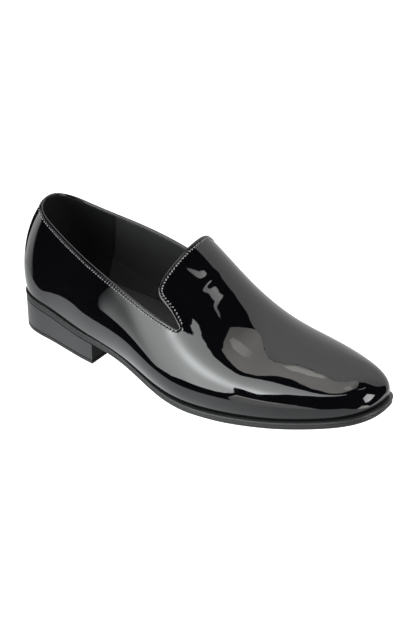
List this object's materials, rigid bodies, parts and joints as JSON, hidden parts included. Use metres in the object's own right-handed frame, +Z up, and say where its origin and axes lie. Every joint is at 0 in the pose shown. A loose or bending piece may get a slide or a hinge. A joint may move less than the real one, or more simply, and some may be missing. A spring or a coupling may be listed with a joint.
{
  "type": "slip-on dress shoe",
  "caption": "Patent slip-on dress shoe for the right foot: one-piece upper with a raised tongue-like tab, welted sole with toe spring, and a low block heel.",
  "frame": {"origin": "on the floor, under the centre of the shoe's bounding box", "axes": "+X from heel to toe, +Y towards the inner side of the right foot, +Z up"},
  "size_m": [0.3002, 0.0985, 0.1045],
  "materials": {
    "upper": "patent gloss",
    "insole": "matt",
    "welt": "satin",
    "outsole": "satin",
    "heel_block": "satin",
    "heel_top_piece": "matt"
  },
  "bodies": {
    "root": {"upper": "upper", "insole": "insole", "welt": "welt", "outsole": "outsole", "heel_block": "heel_block", "heel_top_piece": "heel_top_piece"}
  },
  "joints": []
}
